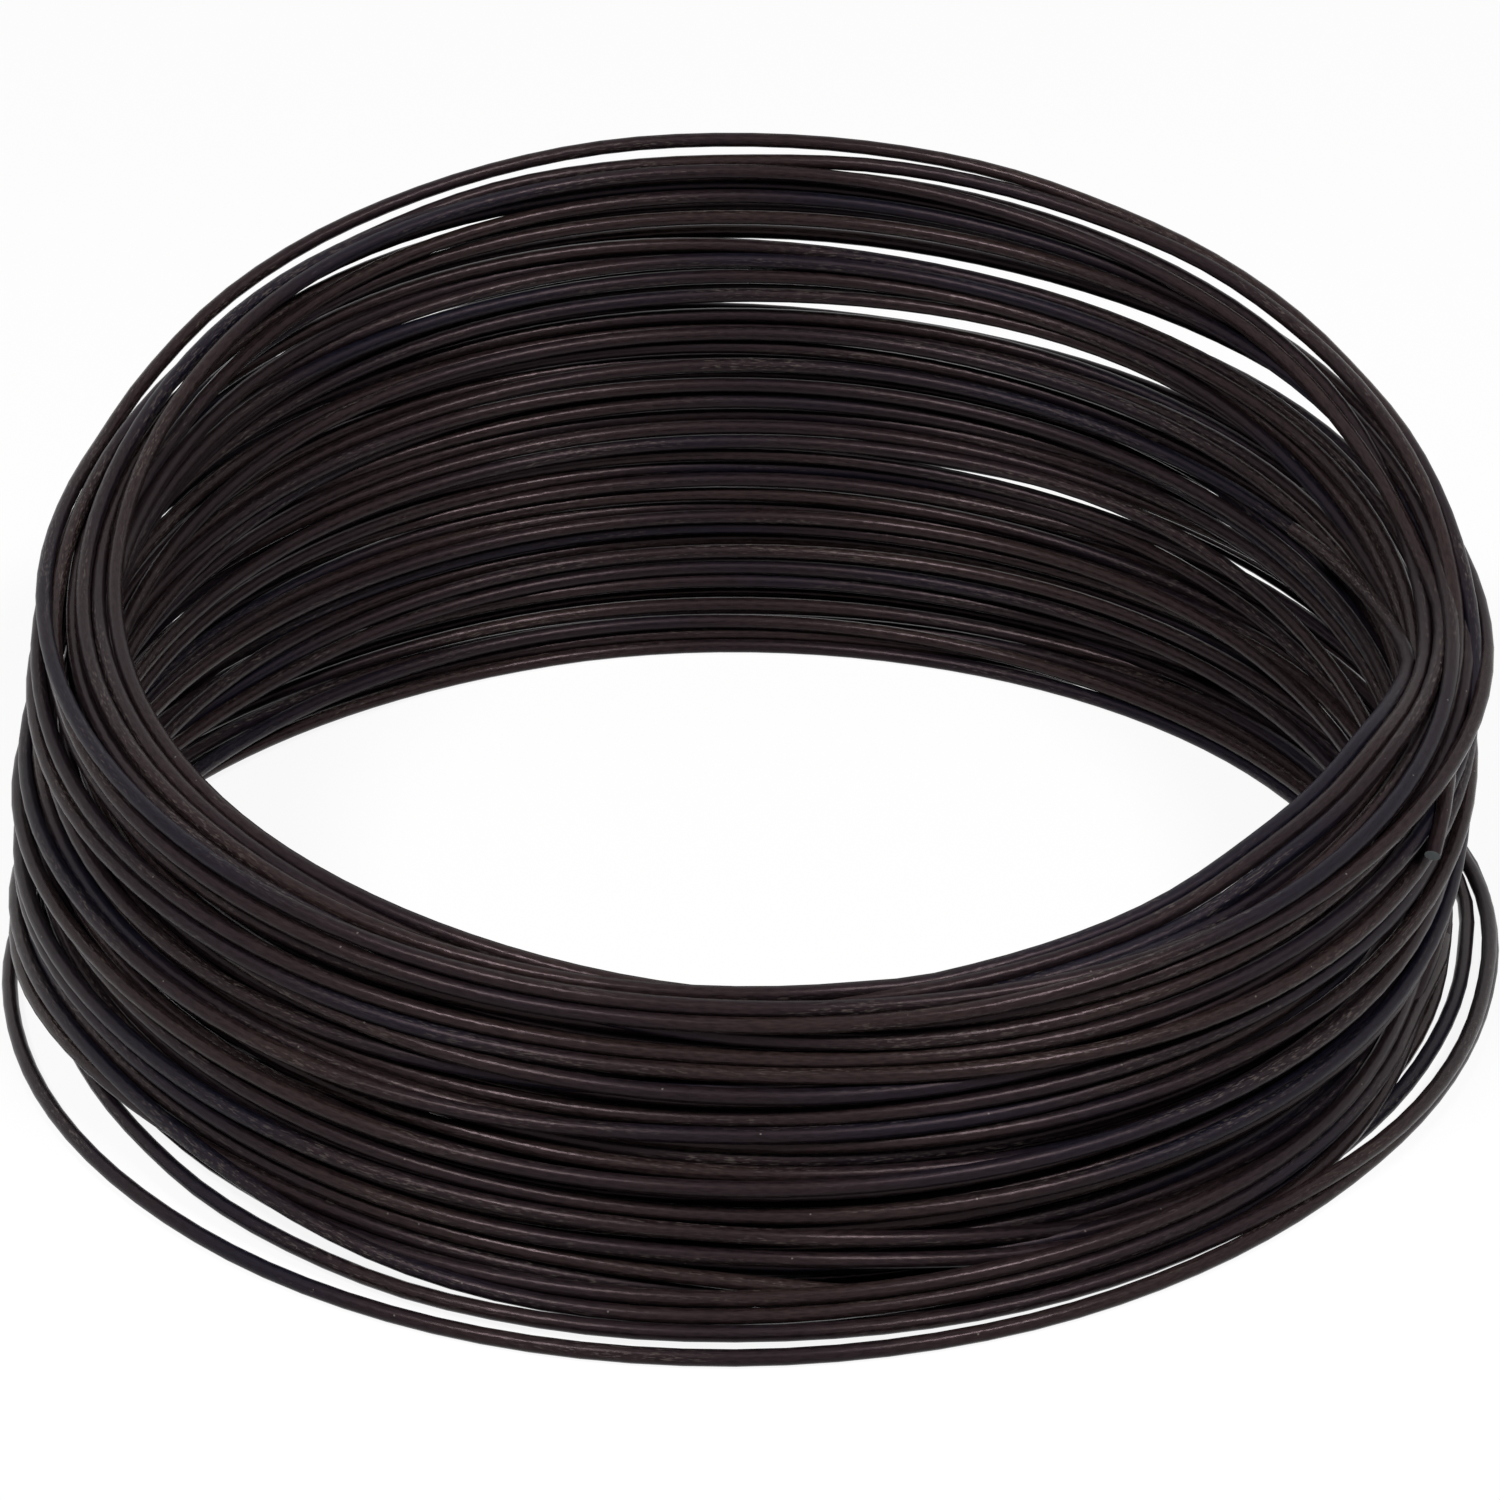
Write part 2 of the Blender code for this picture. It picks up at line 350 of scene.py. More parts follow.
@dataclass
class Winding:
    """Run of the wire through all its turns, from the outer cut end to the inner one."""

    wire: WireStock
    wall: CoilWall
    traverses: tuple[Traverse, ...]
    loose_turns: tuple[LooseTurn, ...]
    partings: tuple[Parting, ...]
    start_azimuth: float = math.radians(-27.3)
    stations_per_turn: int = 108
    seed: int = 11
    back_shuffle: float = 1.6
    front_shuffle: float = 5.0
    row_reach: float = 0.10
    lie_start: float = 0.02
    lie_reach: float = 0.22
    lie_waves: Waves = Waves(0.3, 1.2)
    back_stagger: float = 2.0
    front_stagger: float = 0.8
    back_drift: float = 0.00015
    front_drift: float = 0.0012
    drift_waves: Waves = Waves(0.15, 1.6)
    ripple: float = 0.00025
    ripple_waves: Waves = Waves(0.3, 3.0)
    settling_steps: int = 260
    relaxing_steps: int = 90
    push_share: float = 0.42
    held_give: float = 0.9
    row_firmness: float = 0.5
    sprung_firmness: float = 0.3
    loose_height: float = 0.003
    open_width: float = 0.0002
    opening_share: float = 0.5
    stiffness_stations: float = 3.0
    contact_share: float = 1.02
    hold: float = 0.02
    viewpoint: Place = (0.00037, -0.37326, 0.20895)
    sight_radius: float = 0.051
    least_straight: float = 0.35
    draw_share: float = 0.45
    draw_smoothing: float = 2.5
    drawn_back_reach: float = math.radians(78)
    drawn_front_reach: float = math.radians(72)
    resting_middle: float = math.radians(-80)
    resting_reach: float = math.radians(26)
    reported_shares: tuple[float, ...] = (0.9, 0.7, 0.35)
    azimuth: np.ndarray = field(init=False)
    turn: np.ndarray = field(init=False)
    radius: np.ndarray = field(init=False)
    height: np.ndarray = field(init=False)

    def __post_init__(self) -> None:
        """Space the stations along the wire."""
        turns = sum(traverse.turns for traverse in self.traverses)
        count = round(turns * self.stations_per_turn) + 1
        self.turn = np.arange(count) / self.stations_per_turn
        self.azimuth = self.start_azimuth + FULL_TURN * self.turn

    def smooth_noise(self, rng: np.random.Generator, waves: Waves) -> np.ndarray:
        """Sum waves of random phase along the wire into a curve of about unit size.

        Args:
            rng: the seeded source of the phases.
            waves: the waves that are summed.

        Returns:
            The curve's value at each station.
        """
        rates = np.exp(rng.uniform(math.log(waves.slowest), math.log(waves.fastest), waves.count))
        phases = rng.uniform(0, FULL_TURN, waves.count)
        curve = np.sin(FULL_TURN * self.turn[:, None] * rates + phases).sum(axis=1)
        return curve / math.sqrt(waves.count / 2)

    def pass_place(self, turn: np.ndarray) -> tuple[np.ndarray, np.ndarray, np.ndarray, np.ndarray]:
        """Find where in its pass the winding is after some turns.

        Args:
            turn: turns from the outer cut end.

        Returns:
            The height share, the lies across the wall at the back and in front, and how far
            the wire wanders from its lie in front.
        """
        share, lie_at_back, lie_in_front, lie_wander = (np.zeros_like(turn) for _ in range(4))
        started = 0.0
        for number, traverse in enumerate(self.traverses):
            inside = turn >= started if number else np.ones_like(turn, dtype=bool)
            along = np.clip((turn[inside] - started) / traverse.turns, 0, 1)
            share[inside] = mix(traverse.start_height, traverse.end_height, along)
            lie_at_back[inside] = traverse.lie_at_back
            lie_in_front[inside] = traverse.lie_in_front
            lie_wander[inside] = traverse.lie_wander
            started += traverse.turns
        return share, lie_at_back, lie_in_front, lie_wander

    def rows(
        self, rng: np.random.Generator, crossings: np.ndarray, shuffle: float, firmness: np.ndarray
    ) -> tuple[np.ndarray, np.ndarray]:
        """Share out the height of the wall evenly between the turns that pass one side of the coil.

        Args:
            rng: the seeded source of the shuffle.
            crossings: turns from the outer cut end at which the wire passes that side.
            shuffle: how many rows a turn may lie off its place in its pass.
            firmness: how firmly each station is held, as held turns take no row.

        Returns:
            The height share of each passing turn, and its column: -1 near the bore and 1 behind.
        """
        share = self.pass_place(crossings)[0]
        wanted = share + rng.uniform(-shuffle, shuffle, len(crossings)) / len(crossings)
        free = np.interp(crossings, self.turn, firmness) < self.row_firmness
        rank = np.argsort(np.argsort(wanted[free]))
        placed = share.copy()
        placed[free] = (rank + 0.5) / free.sum()
        column = np.ones(len(crossings))
        column[free] = np.where(rank % 2, -1.0, 1.0)
        return placed, column

    def lay_out(self, firmness: np.ndarray) -> tuple[np.ndarray, np.ndarray]:
        """Lay the wire out in its passes, before the turns are pushed apart.

        The rows keep their order along the back and along the front, and change places at
        the sides.

        Args:
            firmness: how firmly each station is held.

        Returns:
            The radius and the height of each station.
        """
        rng = np.random.default_rng(self.seed)
        past_back = (self.azimuth - BACK) / FULL_TURN
        lap = np.floor(past_back).astype(int)
        first = lap.min()
        back_turn = np.arange(first, lap.max() + 2) + (BACK - self.start_azimuth) / FULL_TURN
        back_share, back_side = self.rows(rng, back_turn, self.back_shuffle, firmness)
        front_share, front_side = self.rows(rng, back_turn + 0.5, self.front_shuffle, firmness)
        index = lap - first
        phase = past_back - lap
        crossing = 0.5 - 2 * self.row_reach
        to_front = smooth_step((phase - self.row_reach) / crossing)
        to_back = smooth_step((phase - 0.5 - self.row_reach) / crossing)
        share = mix(mix(back_share[index], front_share[index], to_front), back_share[index + 1], to_back)
        side = mix(mix(back_side[index], front_side[index], to_front), back_side[index + 1], to_back)
        front = to_front * (1 - to_back)

        out_to_front = smooth_step((phase - self.lie_start) / self.lie_reach)
        out_to_back = smooth_step((phase - 1 + self.lie_start + self.lie_reach) / self.lie_reach)
        spread = out_to_front * (1 - out_to_back)
        _, lie_at_back, lie_in_front, lie_wander = self.pass_place(self.turn)
        lie_in_front = lie_in_front + lie_wander * self.smooth_noise(rng, self.lie_waves)
        rim = self.wall.rim_height(self.azimuth)
        drift = mix(self.back_drift, self.front_drift, front)
        height = share * rim + drift * self.smooth_noise(rng, self.drift_waves)
        height = np.clip(height, self.wire.radius, rim - self.wire.radius)
        inner, outer = self.wall.faces(self.azimuth, height / rim)
        lie_at_back = lie_at_back * np.clip(side, 0, 1)
        lie = np.clip(self.blur(mix(lie_at_back, lie_in_front, spread)), 0, 1)
        radius = mix(inner + self.wire.radius, outer - self.wire.radius, lie)
        stagger = mix(self.back_stagger * np.clip(side, 0, 1), self.front_stagger * side, spread)
        radius += self.wire.radius * stagger
        radius += self.ripple * front * self.smooth_noise(rng, self.ripple_waves)
        behind = radius - inner - self.wire.radius
        height -= behind * self.sight_slope(self.azimuth, height) * (1 - spread)
        height = np.clip(height, self.wire.radius, rim - self.wire.radius)
        return radius, height

    def blur(self, values: np.ndarray, times: float = 1.0) -> np.ndarray:
        """Smooth values along the wire, as its stiffness does.

        Args:
            values: what is smoothed, one value for each station.
            times: how many times the wire's own stiffness it is smoothed by.

        Returns:
            The smoothed values.
        """
        spread = self.stiffness_stations * times
        reach = round(3 * spread)
        steps = np.arange(-reach, reach + 1)
        kernel = np.exp(-0.5 * (steps / spread) ** 2)
        kernel /= kernel.sum()
        return np.convolve(np.pad(values, reach, mode="edge"), kernel, mode="valid")

    def guides(self) -> tuple[np.ndarray, np.ndarray, np.ndarray]:
        """Lay the loose turns along their stations.

        Returns:
            How firmly each station is held, and its radius and height there.
        """
        firmness, radius, height = (np.zeros_like(self.turn) for _ in range(3))
        degrees = np.degrees(self.azimuth)
        for loose in self.loose_turns:
            places, radii, heights = loose.places()
            ease = loose.ease_degrees
            near = (degrees > places[0] - ease) & (degrees < places[-1] + ease)
            at = degrees[near]
            lead_in = smooth_step((at - places[0] + ease) / ease)
            lead_out = smooth_step((places[-1] + ease - at) / ease)
            firmness[near] = lead_in * lead_out
            radius[near] = through_points(places, radii, at)
            height[near] = through_points(places, heights, at)
        return firmness, radius, height

    def settle(self) -> None:
        """Push the turns apart and draw the rows together, in small steps, inside the wall."""
        firmness, guide_radius, guide_height = self.guides()
        laid_radius, laid_height = self.lay_out(firmness)
        laid_radius = mix(laid_radius, guide_radius, firmness)
        laid_height = mix(laid_height, guide_height, firmness)
        radius, height = laid_radius.copy(), laid_height.copy()
        gaps = self.sides_of_gaps(radius, height)
        give = 1 - self.held_give * firmness
        for _ in range(self.settling_steps):
            radius = laid_radius + self.blur(radius - laid_radius) * (1 - self.hold)
            height = laid_height + self.blur(height - laid_height) * (1 - self.hold)
            radius = mix(radius, guide_radius, firmness)
            height = mix(height, guide_height, firmness)
            push_radius, push_height = self.contacts(radius, height)
            radius += push_radius * give
            height += push_height * give
            self.keep_open(radius, height, gaps)
            drawn = self.draw_together(radius, height, gaps, firmness) * give
            height += drawn
            laid_height += self.blur(drawn, self.draw_smoothing)
            radius, height = self.confine(radius, height, firmness)
        smooth_radius = mix(self.blur(radius), radius, firmness)
        smooth_height = mix(self.blur(height), height, firmness)
        radius, height = smooth_radius.copy(), smooth_height.copy()
        for _ in range(self.relaxing_steps):
            push_radius, push_height = self.contacts(radius, height)
            radius += push_radius * give
            height += push_height * give + self.draw_together(radius, height, gaps, firmness) * give
            self.keep_open(radius, height, gaps)
            radius = smooth_radius + self.blur(radius - smooth_radius)
            height = smooth_height + self.blur(height - smooth_height)
            radius = mix(radius, guide_radius, firmness)
            height = mix(height, guide_height, firmness)
            radius, height = self.confine(radius, height, firmness)
        easing = self.blur(np.where((firmness > 0) & (firmness < 1), 1.0, 0.0))
        self.radius = mix(radius, self.blur(radius), easing)
        self.height = mix(height, self.blur(height), easing)
        self.report_contacts()

    def stacked(self, values: np.ndarray, empty: float = EMPTY) -> np.ndarray:
        """Arrange the stations in rows of one turn.

        Args:
            values: one value for each station.
            empty: what fills the last row.

        Returns:
            The rows, with a column for each azimuth.
        """
        rows = math.ceil(len(values) / self.stations_per_turn)
        spare = rows * self.stations_per_turn - len(values)
        return np.pad(values, (0, spare), constant_values=empty).reshape(rows, self.stations_per_turn)

    def contacts(self, radius: np.ndarray, height: np.ndarray) -> tuple[np.ndarray, np.ndarray]:
        """Find how turns that overlap at an azimuth push each other apart.

        Args:
            radius: the radius of each station.
            height: the height of each station.

        Returns:
            The push on each station, outwards and upwards.
        """
        rows_radius, rows_height = self.stacked(radius), self.stacked(height)
        apart_radius = rows_radius[:, None, :] - rows_radius[None, :, :]
        apart_height = rows_height[:, None, :] - rows_height[None, :, :]
        distance = np.sqrt(apart_radius**2 + apart_height**2) + NOT_ZERO
        overlap = np.clip(self.wire.diameter * self.contact_share - distance, 0, None)
        overlap[distance < SAME_PLACE] = 0
        push = self.push_share * overlap / distance
        count = len(radius)
        return (
            (push * apart_radius).sum(axis=1).ravel()[:count],
            (push * apart_height).sum(axis=1).ravel()[:count],
        )

    def sight_slope(self, azimuth: np.ndarray, height: np.ndarray) -> np.ndarray:
        """Give how far a line of sight from the viewpoint falls for each step outwards.

        Args:
            azimuth: where the wall is looked at.
            height: the height that is looked at.

        Returns:
            The fall for each unit outwards, below 0 where the line comes from outside.
        """
        outward_x, outward_y = np.cos(azimuth), np.sin(azimuth)
        reach_x = self.wall.axis[0] + self.sight_radius * outward_x - self.viewpoint[0]
        reach_y = self.wall.axis[1] + self.sight_radius * outward_y - self.viewpoint[1]
        distance = np.hypot(reach_x, reach_y)
        straight = (reach_x * outward_x + reach_y * outward_y) / distance
        least = self.least_straight
        straight = np.where(straight >= 0, np.maximum(straight, least), np.minimum(straight, -least))
        return (self.viewpoint[2] - height) / distance / straight

    def seen_height(
        self, radius: np.ndarray, height: np.ndarray, where: slice | np.ndarray
    ) -> np.ndarray:
        """Give the height at which the line of sight through a wire meets the ring of sight.

        Args:
            radius: the radius of each station asked for.
            height: the height of each station asked for.
            where: which stations they are.

        Returns:
            The height on the upright ring of sight.
        """
        return height + (radius - self.sight_radius) * self.sight_slope(self.azimuth[where], height)

    def sides_of_gaps(self, radius: np.ndarray, height: np.ndarray) -> list[PartedTurns]:
        """Decide on which side of each gap at the back every passing turn lies.

        Args:
            radius: the radius of each station as laid out.
            height: the height of each station as laid out.

        Returns:
            The turns that pass each gap.
        """
        degrees = np.degrees(self.azimuth)
        gaps = []
        for gap in self.partings:
            places = np.array(gap.degrees)
            where = np.flatnonzero((degrees % 360.0 > places[0]) & (degrees % 360.0 < places[-1]))
            at = degrees[where] % 360.0
            middle = through_points(places, np.array(gap.heights_mm) / MILLIMETRES, at)
            width = through_points(places, np.array(gap.widths_mm) / MILLIMETRES, at)
            turn = np.floor(degrees[where] / 360.0).astype(int)
            off = self.seen_height(radius[where], height[where], where) - middle
            totals = np.bincount(turn - turn.min(), weights=off)
            side = np.where(totals[turn - turn.min()] >= 0, 1.0, -1.0)
            slope = self.sight_slope(self.azimuth[where], middle)
            thickness = self.wire.radius / np.cos(np.arctan(slope))
            reach = (width / 2 + thickness) * smooth_step(width / self.open_width)
            turn_middle = np.full(self.stations_per_turn, EMPTY)
            turn_reach = np.zeros(self.stations_per_turn)
            turn_middle[where % self.stations_per_turn] = middle
            turn_reach[where % self.stations_per_turn] = reach
            gaps.append(PartedTurns(where, side, middle, reach, turn_middle, turn_reach))
        return gaps

    def keep_open(self, radius: np.ndarray, height: np.ndarray, gaps: list[PartedTurns]) -> None:
        """Move the turns that pass the gaps out of them.

        Args:
            radius: the radius of each station.
            height: the height of each station, which is changed.
            gaps: the turns that pass each gap.
        """
        for gap in gaps:
            seen = self.seen_height(radius[gap.where], height[gap.where], gap.where)
            off = (seen - gap.middle) * gap.side
            short = np.where((off < gap.reach) & (gap.reach > 0), gap.reach - off, 0.0)
            height[gap.where] += short * gap.side * self.opening_share

    def draw_together(
        self, radius: np.ndarray, height: np.ndarray, gaps: list[PartedTurns], firmness: np.ndarray
    ) -> np.ndarray:
        """Find how the rows close up, so that only the real gaps show between them.

        Args:
            radius: the radius of each station.
            height: the height of each station.
            gaps: the turns that pass each gap.
            firmness: how firmly each station is held.

        Returns:
            The pull on each station, upwards.
        """
        count = len(radius)
        seen = self.stacked(self.seen_height(radius, height, slice(0, count)))
        order = np.argsort(seen, axis=0)
        ranked = np.take_along_axis(seen, order, axis=0)
        apart = np.diff(ranked, axis=0)
        allowed = np.full_like(apart, self.wire.diameter)
        for gap in gaps:
            between = (ranked[:-1] < gap.turn_middle) & (ranked[1:] > gap.turn_middle)
            allowed = np.where(between, np.maximum(allowed, 2 * gap.turn_reach), allowed)
        one_turn = self.azimuth[: self.stations_per_turn]
        low_and_held = (firmness > self.sprung_firmness) & (height < self.loose_height)
        sprung = self.stacked(np.where(low_and_held, 1.0, 0.0), 0.0)
        sprung = np.take_along_axis(sprung, order, axis=0) > 0.5
        off_rest = np.abs(turn_from(one_turn, self.resting_middle))
        resting = (off_rest < self.resting_reach) & (sprung[:-1] != sprung[1:])
        loose = (np.sin(one_turn) < 0) & (sprung[:-1] | sprung[1:]) & ~resting
        excess = np.where((apart > FAR) | loose, 0.0, np.clip(apart - allowed, 0, None))
        real = ranked < FAR
        topmost = real[1:] & ~np.vstack((real[2:], np.zeros_like(real[:1])))
        drawn = self.draw_share * excess
        ranked_pull = np.zeros_like(seen)
        ranked_pull[:-1] += drawn
        ranked_pull[0] = 0
        ranked_pull[1:] -= np.where(topmost, 0.0, drawn)
        pull = np.zeros_like(seen)
        np.put_along_axis(pull, order, ranked_pull, axis=0)
        at_back = np.abs(turn_from(self.azimuth, BACK)) < self.drawn_back_reach
        in_front = np.abs(turn_from(self.azimuth, FRONT)) < self.drawn_front_reach
        return pull.ravel()[:count] * (at_back | in_front)

    def confine(
        self, radius: np.ndarray, height: np.ndarray, firmness: np.ndarray
    ) -> tuple[np.ndarray, np.ndarray]:
        """Keep the turns inside the wall and over the floor.

        Args:
            radius: the radius of each station.
            height: the height of each station.
            firmness: how firmly each station is held, which frees it from the wall.

        Returns:
            The radius and the height of each station, moved back inside.
        """
        rim = self.wall.rim_height(self.azimuth)
        inner, outer = self.wall.faces(self.azimuth, np.clip(height / rim, 0, 1))
        confined = np.clip(radius, inner + self.wire.radius, outer - self.wire.radius)
        lowest = self.wire.radius + self.wall.foot_height(self.azimuth) * (1 - firmness)
        highest = mix(rim - self.wire.radius, np.full_like(rim, FAR), firmness)
        return mix(confined, radius, firmness), np.clip(height, lowest, highest)

    def report_contacts(self) -> None:
        """Report how well the turns have come apart, as far as sections at one azimuth show it."""
        rows_radius, rows_height = self.stacked(self.radius), self.stacked(self.height)
        closest = np.full(rows_radius.shape, EMPTY)
        for other in range(1, len(rows_radius)):
            gap = np.hypot(
                rows_radius[other:] - rows_radius[:-other],
                rows_height[other:] - rows_height[:-other],
            )
            gap[gap < SAME_PLACE] = EMPTY
            closest[other:] = np.minimum(closest[other:], gap)
            closest[:-other] = np.minimum(closest[:-other], gap)
        share = closest / self.wire.diameter
        LOG.info("turns of wire: %.1f", self.turn[-1])
        for limit in self.reported_shares:
            under = 100 * np.mean(share < limit)
            LOG.info("stations with a turn closer than %.2f diameters: %.1f%%", limit, under)

    def points(self) -> np.ndarray:
        """Give the centre line of the wire.

        Returns:
            A row for each station, in metres in the frame.
        """
        across = self.wall.axis[0] + self.radius * np.cos(self.azimuth)
        away = self.wall.axis[1] + self.radius * np.sin(self.azimuth)
        return np.stack((across, away, self.height), axis=1)


class NodeMaker:
    """Short hand for placing, setting and joining the nodes of a tree."""

    def __init__(self, tree: bpy.types.NodeTree) -> None:
        """Keep the tree that the nodes go in."""
        self.tree = tree

    def feed(self, node: bpy.types.Node, inputs: dict[str | int, object]) -> None:
        """Join outputs to a node's inputs, or give them fixed values.

        Args:
            node: the node that is fed.
            inputs: by the input's name or position, an output or a value.
        """
        for name, value in inputs.items():
            if isinstance(value, bpy.types.NodeSocket):
                self.tree.links.new(value, node.inputs[name])
            else:
                node.inputs[name].default_value = value

    def add(
        self, kind: str, inputs: dict[str | int, object] | None = None, **settings: object
    ) -> bpy.types.Node:
        """Place a node and set it up.

        Args:
            kind: the node's type name.
            inputs: by the input's name or position, an output or a value.
            settings: its properties.

        Returns:
            The node.
        """
        node = self.tree.nodes.new(kind)
        for name, value in settings.items():
            setattr(node, name, value)
        self.feed(node, inputs or {})
        return node

    def calculate(self, operation: str, first: object, second: object) -> bpy.types.NodeSocket:
        """Work one value out from two.

        Args:
            operation: the name of the arithmetic.
            first: an output or a value.
            second: an output or a value.

        Returns:
            The result's output.
        """
        return self.add("ShaderNodeMath", {0: first, 1: second}, operation=operation).outputs[0]

    def blend(self, share: object, first: object, second: Colour) -> bpy.types.NodeSocket:
        """Mix a plain colour into another.

        Args:
            share: how much of the plain colour shows.
            first: the output that it is mixed into.
            second: the plain colour, linear.

        Returns:
            The mixed colour's output.
        """
        node = self.add("ShaderNodeMix", data_type="RGBA")
        places = {socket.identifier: place for place, socket in enumerate(node.inputs)}
        self.feed(node, {0: share, places["A_Color"]: first, places["B_Color"]: (*second, 1.0)})
        return next(socket for socket in node.outputs if socket.identifier == "Result_Color")

    def ramp(self, share: bpy.types.NodeSocket, stops: dict[float, Colour]) -> bpy.types.NodeSocket:
        """Place a colour ramp.

        Args:
            share: the output that runs along it.
            stops: the linear colour at each place on it, in order.

        Returns:
            The colour's output.
        """
        node = self.add("ShaderNodeValToRGB", {"Fac": share})
        elements = node.color_ramp.elements
        while len(elements) < len(stops):
            elements.new(1.0)
        for element, (place, colour) in zip(elements, stops.items()):
            element.position = place
            element.color = (*colour, 1.0)
        return node.outputs["Color"]

    def plain_sight(self) -> bpy.types.NodeSocket:
        """Tell what the camera sees, straight or in gloss, from what lights the object.

        Returns:
            The output that is 1 for what is seen and 0 for what lights.
        """
        path = self.add("ShaderNodeLightPath").outputs
        gloss = self.calculate("MAXIMUM", path["Is Glossy Ray"], path["Is Transmission Ray"])
        return self.calculate("MAXIMUM", path["Is Camera Ray"], gloss)


@dataclass
class EffectGroup:
    """Node group that reads a place on the wire and some values."""

    name: str
    values: tuple[str, ...]
    results: dict[str, str]
    nodes: NodeMaker = field(init=False)
    source: bpy.types.NodeOutputs = field(init=False)
    end: bpy.types.Node = field(init=False)

    def __post_init__(self) -> None:
        """Start the group with its inputs and outputs."""
        tree = bpy.data.node_groups.new(self.name, "ShaderNodeTree")
        tree.interface.new_socket(name="Place", in_out="INPUT", socket_type="NodeSocketVector")
        for value in self.values:
            tree.interface.new_socket(name=value, in_out="INPUT", socket_type="NodeSocketFloat")
        for result, kind in self.results.items():
            tree.interface.new_socket(name=result, in_out="OUTPUT", socket_type=kind)
        self.nodes = NodeMaker(tree)
        self.source = self.nodes.add("NodeGroupInput").outputs
        self.end = self.nodes.add("NodeGroupOutput")

    def close(self, results: dict[str, bpy.types.NodeSocket]) -> bpy.types.NodeTree:
        """Join the results to the group's outputs and give the group."""
        self.nodes.feed(self.end, results)
        return self.nodes.tree


class Face(Enum):
    """Surfaces of the wire that carry a finish of their own, by material place."""

    SCALE = 0
    CUT = 1


@dataclass(frozen=True)
class WireEffects:
    """Node groups that follow the wire, read at each point's place on the wire if it lay straight.

    The place has the section's two directions and the length along the wire, in metres.
    """

    place: str = "straight_place"
    tint_detail: float = 3.0
    tint_stops: tuple[float, float, float] = (0.34, 0.46, 0.62)
    thin_from: float = 0.36
    thin_to: float = 0.60
    grain_detail: float = 4.0

    def tint(self, colours: tuple[Colour, Colour, Colour]) -> bpy.types.NodeTree:
        """Make the group that drifts the scale's colour along the wire.

        Args:
            colours: the linear colours of thick, usual and thin scale.

        Returns:
            The node group, which also puts out how thin the scale is.
        """
        group = EffectGroup(
            "oxide_tint", ("Changes",), {"Colour": "NodeSocketColor", "Thinness": "NodeSocketFloat"}
        )
        nodes = group.nodes
        parts = nodes.add("ShaderNodeSeparateXYZ", {0: group.source["Place"]})
        along = nodes.calculate("MULTIPLY", parts.outputs[2], group.source["Changes"])
        noise = nodes.add(
            "ShaderNodeTexNoise",
            {"W": along, "Scale": 1.0, "Detail": self.tint_detail},
            noise_dimensions="1D",
        ).outputs["Fac"]
        thinness = nodes.add(
            "ShaderNodeMapRange", {"Value": noise, "From Min": self.thin_from, "From Max": self.thin_to}
        )
        colour = nodes.ramp(noise, dict(zip(self.tint_stops, colours)))
        return group.close({"Colour": colour, "Thinness": thinness.outputs["Result"]})

    def grain(self) -> bpy.types.NodeTree:
        """Make the group that draws marks lengthwise on the wire.

        Returns:
            The node group, whose output runs from 0 to 1.
        """
        group = EffectGroup("drawn_grain", ("Across", "Along", "From", "To"), {"Mark": "NodeSocketFloat"})
        nodes, source = group.nodes, group.source
        across = source["Across"]
        steps = nodes.add("ShaderNodeCombineXYZ", {0: across, 1: across, 2: source["Along"]})
        stretched = nodes.add(
            "ShaderNodeVectorMath", {0: source["Place"], 1: steps.outputs[0]}, operation="MULTIPLY"
        )
        noise = nodes.add(
            "ShaderNodeTexNoise",
            {"Vector": stretched.outputs[0], "Scale": 1.0, "Detail": self.grain_detail},
            noise_dimensions="3D",
        )
        window = nodes.add(
            "ShaderNodeMapRange",
            {"Value": noise.outputs["Fac"], "From Min": source["From"], "From Max": source["To"]},
            interpolation_type="SMOOTHSTEP",
        )
        return group.close({"Mark": window.outputs["Result"]})

    def specks(self) -> bpy.types.NodeTree:
        """Make the group that strews small specks of dust.

        Returns:
            The node group, whose output is 1 on a speck.
        """
        group = EffectGroup("dust_specks", ("Cells", "Size", "Rarity"), {"Speck": "NodeSocketFloat"})
        nodes, source = group.nodes, group.source
        cells = nodes.add(
            "ShaderNodeTexVoronoi",
            {"Vector": source["Place"], "Scale": source["Cells"]},
            voronoi_dimensions="3D",
            feature="F1",
        )
        small = nodes.calculate("LESS_THAN", cells.outputs["Distance"], source["Size"])
        chance = nodes.add("ShaderNodeSeparateXYZ", {0: cells.outputs["Color"]})
        rare = nodes.calculate("GREATER_THAN", chance.outputs[0], source["Rarity"])
        return group.close({"Speck": nodes.calculate("MULTIPLY", small, rare)})


@dataclass(frozen=True)
class Marks:
    """How one kind of mark lies on the wire.

    Across and along are marks in a metre. A mark starts and is full at two values of a noise.
    """

    across: float
    along: float
    start: float
    full: float

    def place(
        self, nodes: NodeMaker, grain: bpy.types.NodeTree, place: bpy.types.NodeSocket
    ) -> bpy.types.NodeSocket:
        """Place the grain group with these values.

        Args:
            nodes: the material's nodes.
            grain: the grain group.
            place: the output that gives the place on the straight wire.

        Returns:
            The marks' output, from 0 to 1.
        """
        values = {"Across": self.across, "Along": self.along, "From": self.start, "To": self.full}
        return nodes.add("ShaderNodeGroup", {"Place": place, **values}, node_tree=grain).outputs["Mark"]


